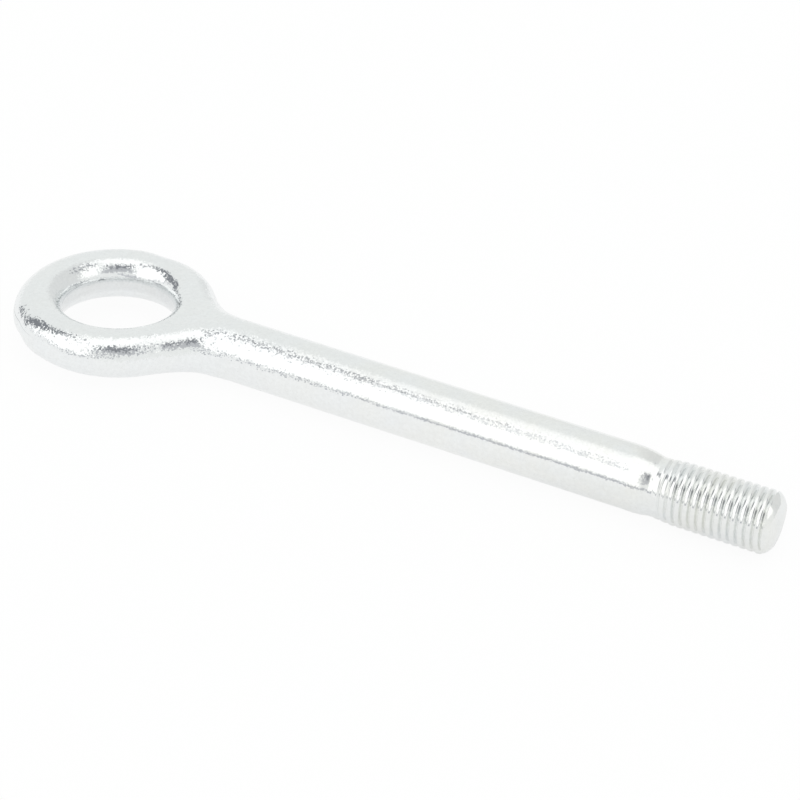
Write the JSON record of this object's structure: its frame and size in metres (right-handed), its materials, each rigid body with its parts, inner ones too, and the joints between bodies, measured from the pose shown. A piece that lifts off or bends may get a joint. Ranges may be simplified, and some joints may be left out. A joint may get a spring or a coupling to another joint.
{
  "type": "tow eye",
  "caption": "Screw-in tow eye forged in one piece: a thick round ring with a punched bore, a filleted neck, a long plain round shank and a coarse right-hand threaded end.",
  "frame": {"origin": "centre of the eye's punched bore, at half the eye's thickness", "axes": "+Z along the bore, +X along the shank from the eye to the threaded end, so the eye and the shank's axis lie level in the XY plane"},
  "size_m": [0.2097, 0.054, 0.0162],
  "materials": {
    "zinc_plate": "bright zinc plating with a clear passivation over forged steel, faintly dimpled from the forging, with a rolled thread"
  },
  "bodies": {
    "root": {"tow_eye": "zinc_plate"}
  },
  "joints": []
}
